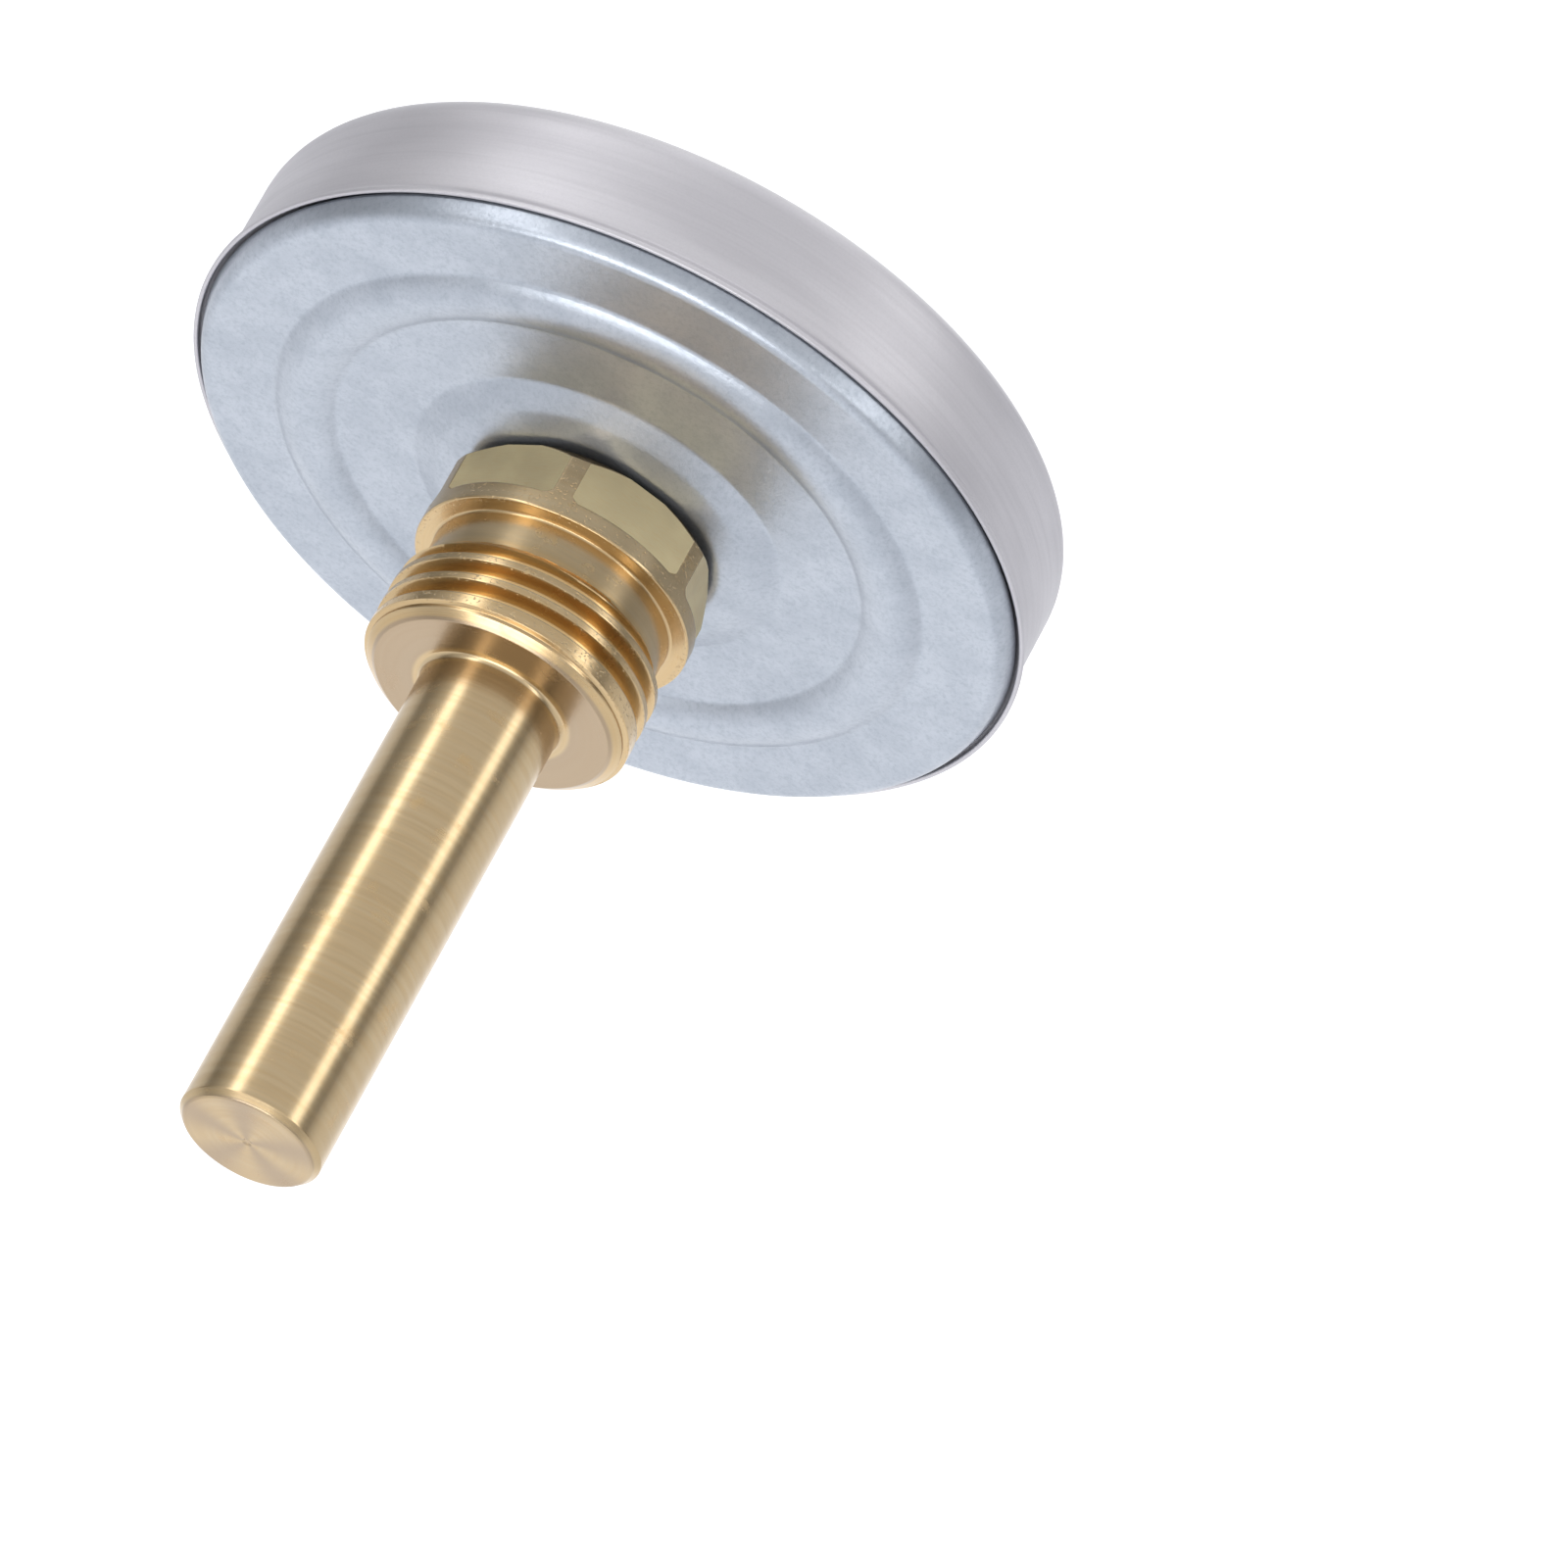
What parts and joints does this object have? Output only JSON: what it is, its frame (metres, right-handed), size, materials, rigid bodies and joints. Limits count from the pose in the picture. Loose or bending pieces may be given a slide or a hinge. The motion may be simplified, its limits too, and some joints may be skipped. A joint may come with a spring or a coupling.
{
  "type": "dial thermometer",
  "caption": "Round dial thermometer with a bimetal stem at its back, held in a brass thermowell with a six-sided head, a pipe thread and a closed pocket tube.",
  "frame": {"origin": "on the stem axis, at the middle of the thermowell's pipe thread", "axes": "+Y along the stem from the dial to the tip, +Z towards twelve o'clock of the dial, the dial faces -Y"},
  "size_m": [0.0662, 0.0706, 0.0662],
  "materials": {
    "well_brass": "turned",
    "screw_steel": "black oxide",
    "case_steel": "satin",
    "gasket_rubber": "matt",
    "window_glass": "clear",
    "spacer_plastic": "matt white",
    "dial_white": "printed white enamel",
    "plate_zinc": "zinc plated",
    "socket_brass": "turned",
    "stem_steel": "satin",
    "bimetal": "rolled strip",
    "bush_brass": "turned",
    "spindle_steel": "drawn",
    "pointer_black": "matt black lacquer",
    "hub_metal": "turned"
  },
  "bodies": {
    "thermowell": {"thermowell": "well_brass"},
    "set_screw": {"set_screw": "screw_steel"},
    "head": {"case_shell": "case_steel", "window_gasket": "gasket_rubber", "window_glass": "window_glass", "spacer_ring": "spacer_plastic", "dial_plate": "dial_white", "back_plate": "plate_zinc", "stem_socket": "socket_brass", "stem_tube": "stem_steel", "stem_end_plug": "stem_steel", "coil_anchor": "bush_brass", "guide_bush_upper": "bush_brass", "guide_bush_lower": "bush_brass", "bimetal_coil": "bimetal"},
    "pointer": {"pointer": "pointer_black", "pointer_bush": "bush_brass", "pointer_hub": "hub_metal", "spindle": "spindle_steel", "coil_collar": "bush_brass"}
  },
  "joints": [
    {"name": "head_slide", "type": "slide", "parent": "thermowell", "child": "head", "axis": [0, -1, 0], "range_m": [0, 0.055]},
    {"name": "pointer_turn", "type": "hinge", "parent": "head", "child": "pointer", "pos_m": [0, 0, 0], "axis": [0, 1, 0], "range_deg": [-55.12, 214.88], "stiffness_Nm_per_rad": 0.00002, "deforming": ["bimetal_coil"]},
    {"name": "set_screw_travel", "type": "slide", "parent": "thermowell", "child": "set_screw", "axis": [-0.4772, 0, -0.8788], "range_m": [0, 0.001]}
  ]
}
